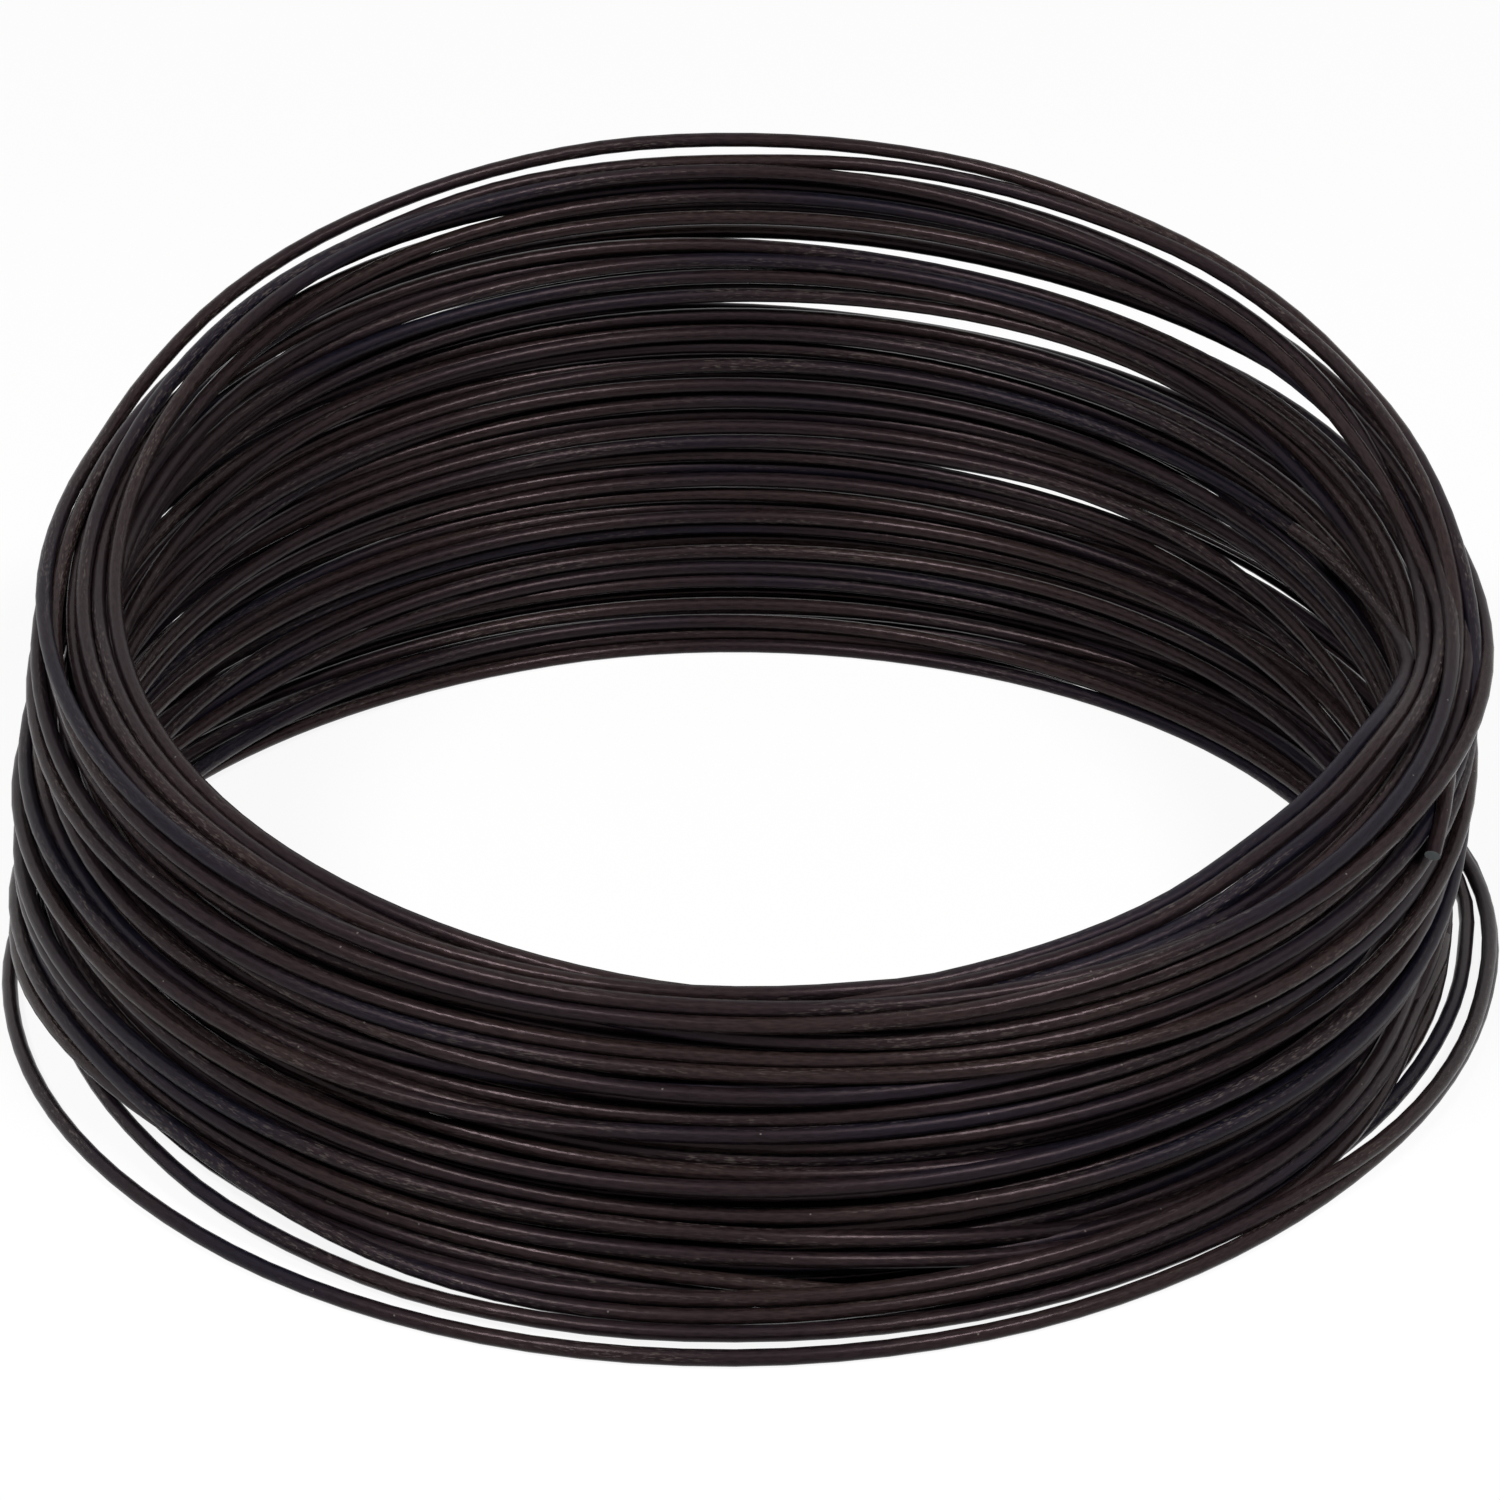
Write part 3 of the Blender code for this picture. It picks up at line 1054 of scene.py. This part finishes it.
@dataclass(frozen=True)
class OxideFinish:
    """Dark satin scale that annealing leaves on the wire, and the bare steel of its cuts."""

    warm_brown: Colour = (0.0165, 0.0100, 0.0100)
    umber: Colour = (0.0090, 0.0056, 0.0070)
    blue_black: Colour = (0.0046, 0.0042, 0.0084)
    tint_changes: float = 14.0
    # Lighter streaks on the scale, partly rubbed wear and partly painted highlight sparkle along the wires;
    # the strength sets how much of that colour shows.
    wear_and_painted_glint: Colour = (0.105, 0.088, 0.079)
    wear_and_glint_strength: float = 0.55
    dust: Colour = (0.10, 0.09, 0.08)
    dust_cells: float = 1100.0
    dust_size: float = 0.085
    dust_rarity: float = 0.9
    fine: Marks = Marks(7000.0, 1300.0, 0.28, 0.72)
    # Marks and patches that place the lighter streaks of wear and painted highlight sparkle; the same places
    # also get a lower roughness.
    wear_and_glint_marks: Marks = Marks(9000.0, 1500.0, 0.52, 0.66)
    wear_and_glint_patches: Marks = Marks(900.0, 60.0, 0.48, 0.68)
    grain_shade: tuple[float, float] = (0.55, 1.45)
    grain_depth: float = 0.000016
    grain_strength: float = 0.35
    thick_roughness: float = 0.38
    thin_roughness: float = 0.23
    rubbed_roughness: float = 0.22
    specular: float = 0.14
    specular_tint: Colour = (1.0, 0.75, 0.80)
    cut_steel: Colour = (0.17, 0.19, 0.19)
    cut_metallic: float = 0.6
    cut_roughness: float = 0.45

    def scale_material(self, effects: WireEffects) -> bpy.types.Material:
        """Make the finish of the drawn and annealed wire.

        Args:
            effects: the node groups that follow the wire.

        Returns:
            The material.
        """
        material = bpy.data.materials.new("annealed_oxide")
        material.use_nodes = True
        nodes = NodeMaker(material.node_tree)
        place = nodes.add("ShaderNodeAttribute", attribute_name=effects.place).outputs["Vector"]
        tint = nodes.add(
            "ShaderNodeGroup",
            {"Place": place, "Changes": self.tint_changes},
            node_tree=effects.tint((self.blue_black, self.umber, self.warm_brown)),
        )
        grain = effects.grain()
        fine, wear_and_glint_marks, wear_and_glint_patches = (marks.place(nodes, grain, place) for marks in (self.fine, self.wear_and_glint_marks, self.wear_and_glint_patches))
        wear_and_glint_mask = nodes.calculate("MULTIPLY", wear_and_glint_marks, wear_and_glint_patches)
        specks = nodes.add(
            "ShaderNodeGroup",
            {"Place": place, "Cells": self.dust_cells, "Size": self.dust_size, "Rarity": self.dust_rarity},
            node_tree=effects.specks(),
        )

        low, high = self.grain_shade
        shade = nodes.add("ShaderNodeMapRange", {"Value": fine, "To Min": low, "To Max": high})
        grained = nodes.add(
            "ShaderNodeVectorMath",
            {0: tint.outputs["Colour"], "Scale": shade.outputs["Result"]},
            operation="SCALE",
        )
        # Mixes the lighter streaks into the colour: rubbed wear and painted highlight sparkle.
        strength = nodes.calculate("MULTIPLY", wear_and_glint_mask, self.wear_and_glint_strength)
        wear_and_painted_glint = nodes.blend(strength, grained.outputs[0], self.wear_and_painted_glint)
        dusty = nodes.blend(specks.outputs["Speck"], wear_and_painted_glint, self.dust)

        thinness = tint.outputs["Thinness"]
        scale_roughness = nodes.add(
            "ShaderNodeMapRange",
            {"Value": thinness, "To Min": self.thick_roughness, "To Max": self.thin_roughness},
        )
        roughness = nodes.add(
            "ShaderNodeMapRange",
            {"Value": wear_and_glint_mask, "To Min": scale_roughness.outputs["Result"], "To Max": self.rubbed_roughness},
        )
        relief = nodes.add(
            "ShaderNodeBump", {"Strength": self.grain_strength, "Distance": self.grain_depth, "Height": fine}
        )
        nodes.feed(
            material.node_tree.nodes["Principled BSDF"],
            {
                "Base Color": dusty,
                "Metallic": 0.0,
                "Roughness": roughness.outputs["Result"],
                "Specular IOR Level": self.specular,
                "Specular Tint": (*self.specular_tint, 1.0),
                "Normal": relief.outputs["Normal"],
            },
        )
        return material

    def cut_material(self) -> bpy.types.Material:
        """Make the bare steel of a face that cutters have sheared.

        Returns:
            The material.
        """
        material = bpy.data.materials.new("cut_steel")
        material.use_nodes = True
        colour = (*self.cut_steel, 1.0)
        NodeMaker(material.node_tree).feed(
            material.node_tree.nodes["Principled BSDF"],
            {"Base Color": colour, "Metallic": self.cut_metallic, "Roughness": self.cut_roughness},
        )
        return material


@dataclass
class BindingWire:
    """The wire itself, as one cord through the whole winding."""

    winding: Winding
    effects: WireEffects
    finish: OxideFinish

    def build(self) -> bpy.types.Object:
        """Returns:
            The wire's object.
        """
        points = self.winding.points()
        mesh = self.draw(points)
        self.mark_places(mesh, points)
        mesh.materials.clear()
        mesh.materials.append(self.finish.scale_material(self.effects))
        mesh.materials.append(self.finish.cut_material())
        self.mark_cuts(mesh)
        piece = bpy.data.objects.new("binding_wire", mesh)
        bpy.context.scene.collection.objects.link(piece)
        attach(piece, BODY)
        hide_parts(NODE)
        mesh.calc_loop_triangles()
        return piece

    def draw(self, points: np.ndarray) -> bpy.types.Mesh:
        """Sweep the wire's round section along its centre line.

        Args:
            points: the centre line.

        Returns:
            The tube, closed at both ends.
        """
        wire = self.winding.wire
        curve = bpy.data.curves.new("binding_wire_line", "CURVE")
        curve.dimensions = "3D"
        curve.bevel_depth = wire.radius
        # A curve's section has four sides, and two more for each step of its resolution.
        curve.bevel_resolution = (wire.sides - 4) // 2
        curve.use_fill_caps = True
        spline = curve.splines.new("POLY")
        spline.points.add(len(points) - 1)
        spline.points.foreach_set("co", np.column_stack((points, np.ones(len(points)))).ravel())
        drawn = bpy.data.objects.new("binding_wire_line", curve)
        bpy.context.scene.collection.objects.link(drawn)
        bpy.context.view_layer.update()
        graph = bpy.context.evaluated_depsgraph_get()
        mesh = bpy.data.meshes.new_from_object(drawn.evaluated_get(graph))
        bpy.data.objects.remove(drawn, do_unlink=True)
        mesh.name = "binding_wire"
        return mesh

    def mark_places(self, mesh: bpy.types.Mesh, points: np.ndarray) -> None:
        """Write each vertex's place on the wire as if it lay straight, for the finish to read.

        Args:
            mesh: the tube, whose vertices are two caps and then the rings in order.
            points: the centre line.
        """
        wire = self.winding.wire
        walked = np.concatenate(([0.0], np.cumsum(np.linalg.norm(np.diff(points, axis=0), axis=1))))
        lengths = np.concatenate(((walked[-1], 0.0), walked))
        around = np.arange(wire.sides) / wire.sides * FULL_TURN
        places = np.empty((len(lengths), wire.sides, 3))
        places[:, :, 0] = wire.radius * np.cos(around)
        places[:, :, 1] = wire.radius * np.sin(around)
        places[:, :, 2] = lengths[:, None]
        attribute = mesh.attributes.new(self.effects.place, "FLOAT_VECTOR", "POINT")
        attribute.data.foreach_set("vector", places.ravel().astype(np.float32))

    def mark_cuts(self, mesh: bpy.types.Mesh) -> None:
        """Give the two end faces their own finish.

        Args:
            mesh: the tube, whose first vertices are its two caps.
        """
        cap_vertices = 2 * self.winding.wire.sides
        for face in mesh.polygons:
            on_cut = all(vertex < cap_vertices for vertex in face.vertices)
            face.material_index = (Face.CUT if on_cut else Face.SCALE).value


@dataclass
class Studio:
    """Pale floor, soft light and the camera."""

    picture_size: float = 1500.0
    focal_pixels: float = 5563.0
    sensor_mm: float = 36.0
    clip_start: float = 0.01
    camera_distance: float = 0.431
    camera_elevation: float = math.radians(29)
    aim: Place = (0.000366, 0.003704, 0.0155)
    floor_size: float = 3.0
    floor_colour: Colour = (0.45, 0.45, 0.45)
    floor_roughness: float = 0.9
    seen_colour: Colour = (0.92, 0.92, 0.92)
    floor_glow: float = 0.9
    world_light: float = 0.15
    box_size: tuple[float, float] = (0.28, 0.09)
    box_watts: float = 4.8
    left_box: Place = (-0.36, -0.42, 0.70)
    right_box: Place = (0.40, -0.38, 0.70)

    def build(self) -> None:
        """Set up the whole studio."""
        self.camera()
        self.floor()
        self.world()
        self.soft_box("left_box", self.left_box)
        self.soft_box("right_box", self.right_box)
        bpy.context.scene.view_settings.view_transform = "Standard"

    def face_coil(self, item: bpy.types.Object, place: Vector) -> None:
        """Put a camera or a lamp in the scene, turned to the coil.

        Args:
            item: the camera or the lamp.
            place: where it stands, in metres.
        """
        item.location = place
        item.rotation_euler = (Vector(self.aim) - item.location).to_track_quat("-Z", "Y").to_euler()
        bpy.context.scene.collection.objects.link(item)

    def camera(self) -> None:
        """Stand the camera at the photograph's viewing angle."""
        data = bpy.data.cameras.new("camera")
        data.sensor_width = self.sensor_mm
        data.lens = self.sensor_mm * self.focal_pixels / self.picture_size
        data.clip_start = self.clip_start
        camera = bpy.data.objects.new("camera", data)
        side = Vector((0.0, -math.cos(self.camera_elevation), math.sin(self.camera_elevation)))
        foot = Vector((self.aim[0], self.aim[1], 0.0))
        self.face_coil(camera, foot + side * self.camera_distance)
        bpy.context.scene.camera = camera

    def soft_box(self, name: str, place: Place) -> None:
        """Hang a wide, low soft box that faces the coil.

        Args:
            name: the lamp's name.
            place: where it hangs, in metres.
        """
        data = bpy.data.lights.new(name, "AREA")
        data.shape = "RECTANGLE"
        data.size, data.size_y = self.box_size
        data.energy = self.box_watts
        self.face_coil(bpy.data.objects.new(name, data), Vector(place))

    def floor(self) -> None:
        """Lay the pale floor, which keeps a soft shadow of the coil."""
        shape = bmesh.new()
        bmesh.ops.create_grid(shape, x_segments=1, y_segments=1, size=self.floor_size / 2)
        mesh = bpy.data.meshes.new("floor")
        shape.to_mesh(mesh)
        shape.free()
        material = bpy.data.materials.new("pale_floor")
        material.use_nodes = True
        nodes = NodeMaker(material.node_tree)
        shader = material.node_tree.nodes["Principled BSDF"]
        colour = (*self.floor_colour, 1.0)
        dull = {"Base Color": colour, "Roughness": self.floor_roughness, "Specular IOR Level": 0.0}
        nodes.feed(shader, dull)
        paint = nodes.add("ShaderNodeBsdfDiffuse", {"Color": (*self.seen_colour, 1.0)}).outputs[0]
        glow = nodes.add("ShaderNodeEmission").outputs[0]
        backdrop = nodes.add("ShaderNodeMixShader", {0: self.floor_glow, 1: paint, 2: glow}).outputs[0]
        shown = {0: nodes.plain_sight(), 1: shader.outputs[0], 2: backdrop}
        surface = nodes.add("ShaderNodeMixShader", shown).outputs[0]
        nodes.feed(material.node_tree.nodes["Material Output"], {"Surface": surface})
        mesh.materials.append(material)
        floor = bpy.data.objects.new("floor", mesh)
        bpy.context.scene.collection.objects.link(floor)

    def world(self) -> None:
        """Fill the room with plain light, and show white to the camera and in gloss."""
        world = bpy.data.worlds.new("room")
        bpy.context.scene.world = world
        world.use_nodes = True
        nodes = NodeMaker(world.node_tree)
        levels = {0: nodes.plain_sight(), 2: self.world_light, 3: 1.0}
        strength = nodes.add("ShaderNodeMix", levels, data_type="FLOAT").outputs[0]
        background = world.node_tree.nodes["Background"]
        nodes.feed(background, {"Color": (1.0, 1.0, 1.0, 1.0), "Strength": strength})


def traverses() -> tuple[Traverse, ...]:
    """Give the passes of the winding: up the outside, down the middle and up the bore's face."""
    return (
        Traverse(12.0, 0.02, 0.97, lie_at_back=1.0, lie_in_front=0.95, lie_wander=0.1),
        Traverse(22.0, 0.97, 0.04, lie_at_back=0.25, lie_in_front=0.62, lie_wander=0.28),
        Traverse(22.15, 0.04, 0.97, lie_at_back=0.0, lie_in_front=0.06, lie_wander=0.12),
    )


def low_turns() -> tuple[LooseTurn, ...]:
    """Lay the outer cut end and the turns that have dropped towards the floor.

    Returns:
        The loose turns, in order along the wire.
    """
    way_down = stations(
        (-27.3, 55.4, 20.4), (-24.5, 55.0, 21.9), (-20, 54.2, 23.2), (-14, 53.4, 24.0),
        (-5, 53.0, 24.6), (10, 53.2, 24.8), (35, 53.8, 23.5), (65, 54.2, 19.5),
        (95, 54.4, 14.2), (125, 54.9, 8.5), (150, 55.3, 3.8), (165, 55.5, 1.6),
    )
    floor_turn = stations(
        (-186, 55.6, 0.9), (-176, 56.3, 0.6), (-168, 56.6, 0.6), (-153, 57.4, 0.6),
        (-137, 58.4, 0.6), (-121, 59.6, 0.6), (-106, 60.3, 0.6), (-90, 60.3, 0.6),
        (-73, 59.4, 0.6), (-57, 58.0, 0.6), (-49, 57.35, 0.6), (-40, 56.8, 0.6),
        (-28, 56.6, 0.6), (-12, 56.9, 0.6), (-4, 57.3, 0.6), (4, 57.7, 0.6),
        (11, 58.0, 0.7), (22, 57.2, 1.0), (35, 55.2, 1.6),
    )
    second_turn = stations(
        (-150, 54.0, 1.9), (-141, 54.9, 1.8), (-133, 55.9, 1.6), (-123, 56.8, 1.3),
        (-114, 57.6, 1.1), (-106, 58.0, 1.1), (-99, 58.2, 1.1), (-90, 58.1, 1.1),
        (-73, 57.5, 1.0), (-62, 57.0, 1.1), (-54, 56.8, 1.4), (-46, 56.85, 1.75),
        (-36, 57.0, 1.8), (-20, 56.9, 1.8), (-12, 56.85, 1.8), (-4, 57.1, 1.8),
        (3, 57.3, 1.75), (12, 56.8, 2.3), (22, 55.4, 3.5),
    )
    third_turn = stations(
        (-74, 56.0, 1.8), (-66, 55.7, 1.3), (-57, 55.2, 1.1), (-48, 54.6, 0.9),
        (-40, 54.4, 0.9), (-30, 54.4, 1.0), (-20, 54.6, 1.2), (-12, 54.9, 1.2),
        (-4, 55.3, 1.2), (3, 56.0, 1.2), (10, 55.8, 2.0), (17, 55.2, 3.7),
    )
    fourth_turn = stations(
        (-66, 54.4, 2.6), (-57, 53.9, 1.6), (-47, 53.2, 1.0), (-41, 53.2, 0.9), (-32, 53.0, 1.1),
        (-20, 53.2, 1.5), (-10, 53.4, 2.0), (-2, 53.7, 4.0), (5, 54.0, 6.2),
    )
    fifth_turn = stations(
        (-58, 52.6, 2.2), (-48, 52.0, 1.2), (-41, 51.9, 1.0), (-36, 51.8, 1.1), (-28, 51.8, 1.6),
        (-20, 52.2, 3.0), (-13, 53.0, 5.3),
    )
    return (
        LooseTurn("outer cut end and its way down to the floor", 0, way_down, ease_degrees=8.0),
        LooseTurn("floor turn", 1, floor_turn),
        LooseTurn("second turn", 2, second_turn),
        LooseTurn("third turn", 3, third_turn),
        LooseTurn("fourth turn", 4, fourth_turn),
        LooseTurn("fifth turn", 5, fifth_turn),
    )


def high_turns() -> tuple[LooseTurn, ...]:
    """Lay the turns that have sprung up at the back.

    Returns:
        The loose turns, in order along the wire.
    """
    top_sprung_turn = stations(
        (8, 54.0, 31.3), (20, 54.0, 34.3), (28, 54.0, 36.0), (35, 54.0, 37.8), (47, 54.0, 40.3),
        (58, 54.0, 42.0), (67, 54.0, 43.3), (78, 54.0, 44.2), (90, 54.0, 44.6), (103, 54.0, 44.4),
        (112, 54.0, 43.6), (121, 54.0, 42.4), (132, 54.0, 40.5), (143, 54.0, 37.8), (150, 54.0, 35.4),
    )
    second_sprung_turn = stations(
        (18, 53.0, 34.4), (34, 53.0, 37.8), (46, 53.0, 40.1), (57, 53.0, 41.4), (67, 53.1, 42.4),
        (78, 53.3, 43.0), (90, 53.5, 42.9), (100, 53.5, 42.8), (112, 53.3, 42.2), (125, 52.9, 40.4),
        (135, 52.8, 38.6), (146, 52.8, 35.4),
    )
    return (
        LooseTurn("top sprung turn", 11, top_sprung_turn),
        LooseTurn("second sprung turn", 12, second_sprung_turn),
    )


def tail_turns() -> tuple[LooseTurn, ...]:
    """Lay the inner tail that is tucked behind two turns, and those turns.

    Returns:
        The loose turns, the tail first.
    """
    inner_tail = stations(
        (290, 46.9, 21.4), (309, 47.0, 22.9), (319, 47.2, 24.3), (330, 47.7, 25.4),
        (337, 48.2, 26.3), (346, 49.0, 26.3), (353, 49.6, 26.1), (358, 49.2, 25.8),
        (364, 48.6, 25.4), (376, 48.1, 24.7), (386, 48.0, 24.4),
    )
    beside_tail = stations(
        (285, 48.1, 21.2), (309, 48.2, 22.8), (319, 48.4, 24.2), (330, 48.9, 25.3),
        (337, 49.4, 26.2), (346, 50.2, 26.4), (353, 50.8, 26.6), (362, 51.0, 27.6),
    )
    second_beside_tail = stations(
        (290, 48.6, 20.6), (309, 49.3, 22.2), (319, 49.6, 23.8), (330, 50.1, 25.0),
        (337, 50.6, 26.0), (346, 51.4, 26.6), (353, 52.0, 27.2),
    )
    return (
        LooseTurn("inner tail", 55, inner_tail, ease_degrees=12.0),
        LooseTurn("turn beside the tail", 54, beside_tail),
        LooseTurn("second turn beside the tail", 53, second_beside_tail),
    )


def partings() -> tuple[Parting, ...]:
    """Give the gaps between the groups of turns that have sprung apart at the back."""
    return (
        Parting(
            (16, 21, 31, 45, 56, 66, 72, 80),
            (35.6, 36.5, 38.1, 40.05, 41.4, 42.4, 42.9, 43.2),
            (0.0, 0.6, 1.1, 0.9, 0.7, 0.55, 0.3, 0.0),
        ),
        Parting(
            (16, 23, 31, 44, 56, 66, 76, 85, 92),
            (32.6, 32.85, 33.25, 34.0, 35.05, 35.45, 36.2, 36.75, 37.0),
            (0.0, 0.9, 1.2, 1.3, 0.7, 0.5, 0.4, 0.3, 0.0),
        ),
        Parting(
            (44, 48, 56, 66, 76, 83, 90),
            (29.3, 29.6, 30.1, 30.65, 30.85, 30.95, 31.0),
            (0.0, 0.3, 0.6, 0.85, 0.7, 0.4, 0.0),
        ),
        Parting((47, 51, 57, 64, 68), (16.3, 16.65, 17.2, 17.25, 17.2), (0.0, 0.3, 0.6, 0.4, 0.0)),
        Parting(
            (82, 90, 102, 113, 123, 134, 141),
            (44.9, 44.9, 44.6, 44.1, 42.6, 41.2, 39.8),
            (0.0, 0.5, 0.7, 0.9, 1.1, 0.5, 0.0),
        ),
        Parting((115.5, 119, 125, 132, 136), (40.3, 40.0, 39.7, 39.2, 38.8), (0.0, 0.4, 0.6, 0.45, 0.0)),
        Parting((124.5, 127, 131, 133), (32.65, 32.6, 32.55, 32.5), (0.0, 0.4, 0.4, 0.0)),
        Parting((25.5, 28, 31, 34), (15.8, 16.0, 16.35, 16.7), (0.0, 0.3, 0.3, 0.0)),
    )


def main() -> None:
    """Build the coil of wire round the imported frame, with its studio."""
    logging.basicConfig(level=logging.INFO, format="%(name)s: %(message)s")
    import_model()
    Studio().build()
    LOG.info("studio: camera, floor and soft light")
    winding = Winding(
        wire=WireStock(),
        wall=CoilWall(),
        traverses=traverses(),
        loose_turns=low_turns() + high_turns() + tail_turns(),
        partings=partings(),
    )
    for loose in winding.loose_turns:
        LOG.info("loose: %s, in turn %d", loose.name, loose.turn)
    winding.settle()
    BindingWire(winding, WireEffects(), OxideFinish()).build()


if __name__ == "__main__":
    main()
